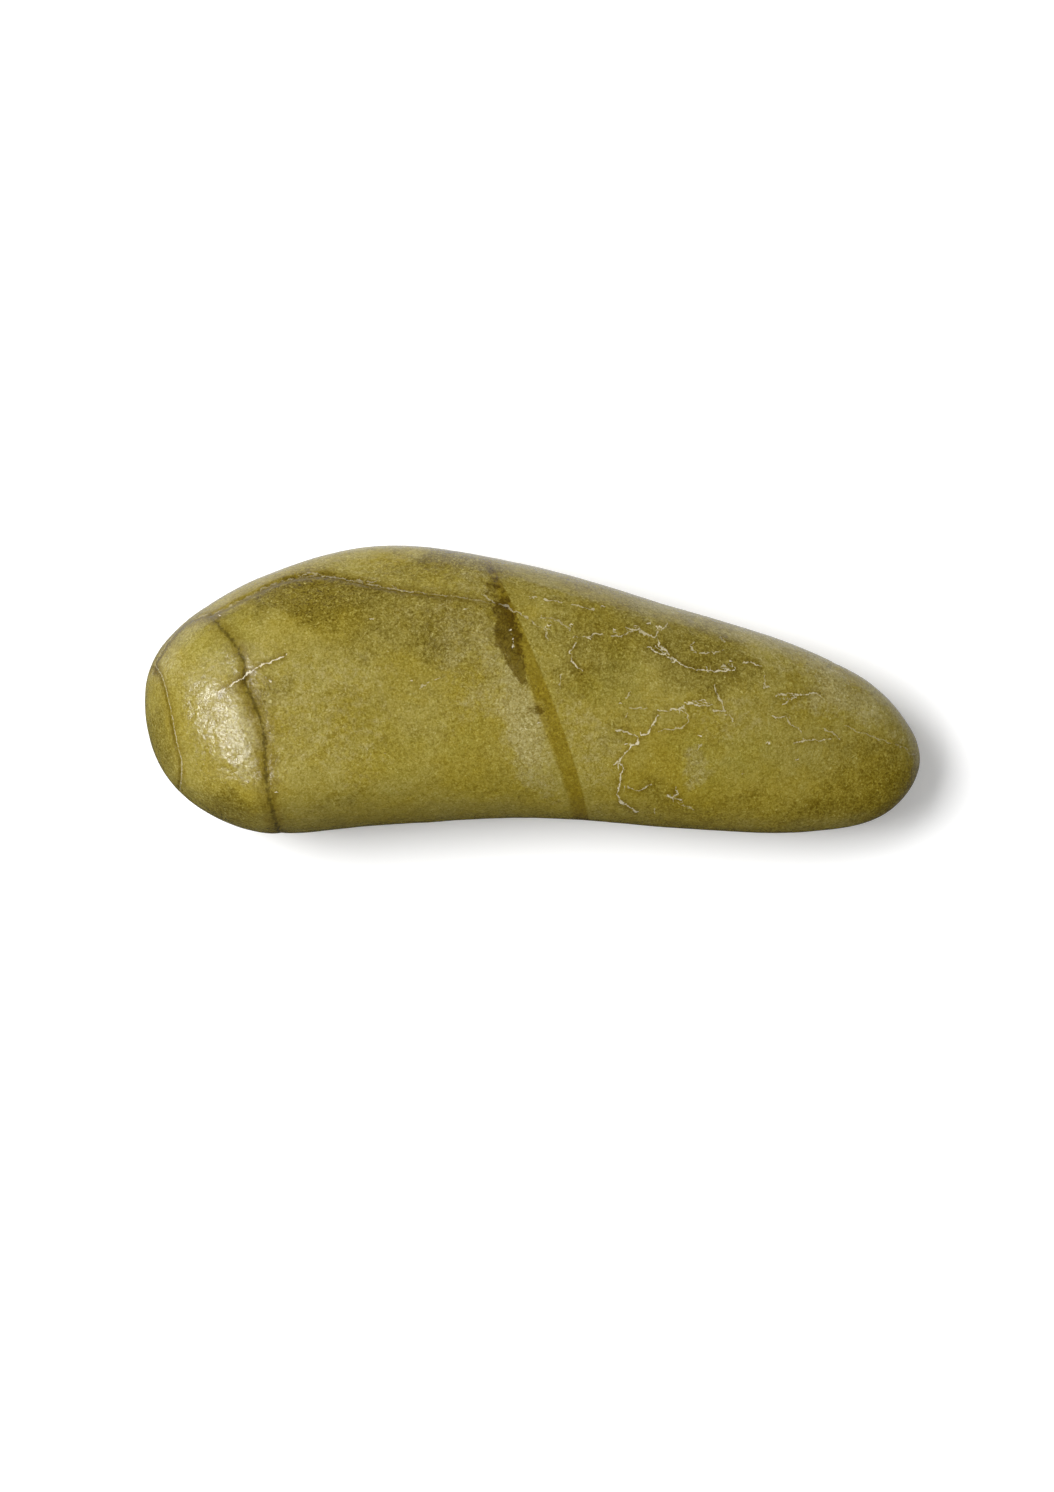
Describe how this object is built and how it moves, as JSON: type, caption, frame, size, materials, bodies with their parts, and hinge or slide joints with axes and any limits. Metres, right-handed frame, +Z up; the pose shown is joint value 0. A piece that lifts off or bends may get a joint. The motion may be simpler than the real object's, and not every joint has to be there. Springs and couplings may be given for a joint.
{
  "type": "serpentine stone",
  "caption": "Polished tumbled serpentine pebble, olive green with pale hairline veins and a dark diagonal band, resting flat on its underside.",
  "frame": {"origin": "on the resting plane, under the middle of the stone's bounding box", "axes": "+X along the stone's length, from the blunt end to the slim end; +Y across it, towards the back edge with the ridge; +Z up from the resting plane"},
  "size_m": [0.08, 0.0298, 0.0183],
  "materials": {
    "serpentine": "tumble polished, satin to glossy"
  },
  "bodies": {
    "root": {"serpentine_stone": "serpentine"}
  },
  "joints": []
}
